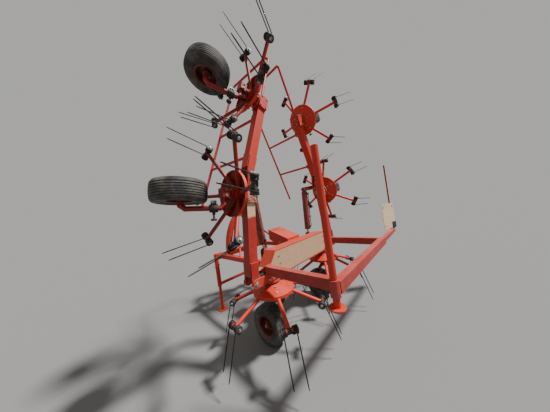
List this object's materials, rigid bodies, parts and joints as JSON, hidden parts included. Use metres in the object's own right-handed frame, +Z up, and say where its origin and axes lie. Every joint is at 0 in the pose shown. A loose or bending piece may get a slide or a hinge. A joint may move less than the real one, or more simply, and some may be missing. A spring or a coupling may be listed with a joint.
{
  "type": "hay tedder",
  "caption": "Mounted rotary hay tedder with folding wings, spring-tine rotors on small wheels, guards and a three-point linkage frame.",
  "frame": {"origin": "on the ground below the middle of the machine's outline at rest", "axes": "+X to the right when facing forward, +Y forward to the tractor, +Z up"},
  "size_m": [2.8688, 2.0999, 3.3143],
  "materials": {
    "red_paint": "faded",
    "cast_iron": "greasy",
    "barrel_paint": "satin",
    "chrome_rod": "polished",
    "spring_steel": "dark",
    "tyre": "matt, dusty"
  },
  "bodies": {
    "frame": {"main_beam": "red_paint", "gearbox": "cast_iron", "headstock": "red_paint", "rear_carrier": "red_paint", "centre_wheel_legs": "red_paint", "link_clevises": "red_paint"},
    "front_stand": {"front_stand": "red_paint"},
    "rear_stand": {"rear_stand": "red_paint"},
    "inner_left": {"inner_beam_left": "red_paint", "inner_wheel_leg_left": "red_paint"},
    "outer_left": {"outer_beam_left": "red_paint", "outer_wheel_leg_left": "red_paint", "guard_left": "red_paint"},
    "barrel_left": {"cylinder_barrel_left": "barrel_paint"},
    "rod_left": {"cylinder_rod_left": "chrome_rod"},
    "inner_right": {"inner_beam_right": "red_paint", "inner_wheel_leg_right": "red_paint"},
    "outer_right": {"outer_beam_right": "red_paint", "outer_wheel_leg_right": "red_paint", "guard_right": "red_paint"},
    "barrel_right": {"cylinder_barrel_right": "barrel_paint"},
    "rod_right": {"cylinder_rod_right": "chrome_rod"},
    "rotor_1": {"rotor_1": "red_paint", "tines_1": "spring_steel"},
    "rotor_2": {"rotor_2": "red_paint", "tines_2": "spring_steel"},
    "rotor_3": {"rotor_3": "red_paint", "tines_3": "spring_steel"},
    "rotor_4": {"rotor_4": "red_paint", "tines_4": "spring_steel"},
    "rotor_5": {"rotor_5": "red_paint", "tines_5": "spring_steel"},
    "rotor_6": {"rotor_6": "red_paint", "tines_6": "spring_steel"},
    "wheel_1": {"rim_1": "red_paint", "tyre_1": "tyre"},
    "wheel_2": {"rim_2": "red_paint", "tyre_2": "tyre"},
    "wheel_3": {"rim_3": "red_paint", "tyre_3": "tyre"},
    "wheel_4": {"rim_4": "red_paint", "tyre_4": "tyre"},
    "wheel_5": {"rim_5": "red_paint", "tyre_5": "tyre"},
    "wheel_6": {"rim_6": "red_paint", "tyre_6": "tyre"}
  },
  "joints": [
    {"name": "fold_left", "type": "hinge", "parent": "frame", "child": "inner_left", "pos_m": [-0.775, -0.245, 0.75], "axis": [0, -1, 0], "range_deg": [0, 96.5]},
    {"name": "contour_left", "type": "hinge", "parent": "inner_left", "child": "outer_left", "pos_m": [-0.6618, -0.245, 1.74357], "axis": [0, -1, 0], "range_deg": [0, 20.5]},
    {"name": "barrel_left", "type": "hinge", "parent": "inner_left", "child": "barrel_left", "pos_m": [-0.50117, -0.095, 1.60751], "axis": [0, 1, 0], "range_deg": [0, 11.1]},
    {"name": "rod_left", "type": "slide", "parent": "barrel_left", "child": "rod_left", "axis": [0.0826, 0, -0.9966], "range_m": [0, 0.534]},
    {"name": "fold_right", "type": "hinge", "parent": "frame", "child": "inner_right", "pos_m": [0.775, -0.245, 0.75], "axis": [0, 1, 0], "range_deg": [0, 96.5]},
    {"name": "contour_right", "type": "hinge", "parent": "inner_right", "child": "outer_right", "pos_m": [0.6618, -0.245, 1.74357], "axis": [0, 1, 0], "range_deg": [0, 20.5]},
    {"name": "barrel_right", "type": "hinge", "parent": "inner_right", "child": "barrel_right", "pos_m": [0.50117, -0.095, 1.60751], "axis": [0, -1, 0], "range_deg": [0, 11.1]},
    {"name": "rod_right", "type": "slide", "parent": "barrel_right", "child": "rod_right", "axis": [-0.0826, 0, -0.9966], "range_m": [0, 0.534]},
    {"name": "rotor_1", "type": "hinge", "parent": "outer_left", "child": "rotor_1", "pos_m": [-0.48246, -0.245, 2.58787], "axis": [0.9272, 0, -0.3746], "continuous": true},
    {"name": "rotor_2", "type": "hinge", "parent": "inner_left", "child": "rotor_2", "pos_m": [-0.83347, -0.245, 1.56184], "axis": [0.9936, 0, -0.1132], "continuous": true},
    {"name": "rotor_3", "type": "hinge", "parent": "frame", "child": "rotor_3", "pos_m": [-0.525, -0.245, 0.6], "axis": [0, 0, 1], "continuous": true},
    {"name": "rotor_4", "type": "hinge", "parent": "frame", "child": "rotor_4", "pos_m": [0.525, -0.245, 0.6], "axis": [0, 0, 1], "continuous": true},
    {"name": "rotor_5", "type": "hinge", "parent": "inner_right", "child": "rotor_5", "pos_m": [0.83347, -0.245, 1.56184], "axis": [-0.9936, 0, -0.1132], "continuous": true},
    {"name": "rotor_6", "type": "hinge", "parent": "outer_right", "child": "rotor_6", "pos_m": [0.48246, -0.245, 2.58787], "axis": [-0.9272, 0, -0.3746], "continuous": true},
    {"name": "wheel_1", "type": "hinge", "parent": "outer_left", "child": "wheel_1", "pos_m": [-0.85333, -0.125, 2.73771], "axis": [-0.3746, 0, -0.9272], "continuous": true},
    {"name": "wheel_2", "type": "hinge", "parent": "inner_left", "child": "wheel_2", "pos_m": [-1.2309, -0.125, 1.60712], "axis": [-0.1132, 0, -0.9936], "continuous": true},
    {"name": "wheel_3", "type": "hinge", "parent": "frame", "child": "wheel_3", "pos_m": [-0.525, -0.125, 0.2], "axis": [1, 0, 0], "continuous": true},
    {"name": "wheel_4", "type": "hinge", "parent": "frame", "child": "wheel_4", "pos_m": [0.525, -0.125, 0.2], "axis": [1, 0, 0], "continuous": true},
    {"name": "wheel_5", "type": "hinge", "parent": "inner_right", "child": "wheel_5", "pos_m": [1.2309, -0.125, 1.60712], "axis": [-0.1132, 0, 0.9936], "continuous": true},
    {"name": "wheel_6", "type": "hinge", "parent": "outer_right", "child": "wheel_6", "pos_m": [0.85333, -0.125, 2.73771], "axis": [-0.3746, 0, 0.9272], "continuous": true},
    {"name": "front_stand", "type": "slide", "parent": "frame", "child": "front_stand", "axis": [0, 0, 1], "range_m": [0, 0.34]},
    {"name": "rear_stand", "type": "slide", "parent": "frame", "child": "rear_stand", "axis": [0, 0, 1], "range_m": [-0.695, 0]}
  ],
  "couplings": [
    {"joint": "barrel_left", "follows": "fold_left", "ratio": 0.11402},
    {"joint": "rod_left", "follows": "fold_left", "m_per_rad": 0.31656},
    {"joint": "barrel_right", "follows": "fold_right", "ratio": 0.11402},
    {"joint": "rod_right", "follows": "fold_right", "m_per_rad": 0.31656},
    {"joint": "rotor_1", "follows": "rotor_3", "ratio": 1},
    {"joint": "rotor_2", "follows": "rotor_3", "ratio": -1},
    {"joint": "rotor_4", "follows": "rotor_3", "ratio": -1},
    {"joint": "rotor_5", "follows": "rotor_3", "ratio": 1},
    {"joint": "rotor_6", "follows": "rotor_3", "ratio": -1}
  ]
}
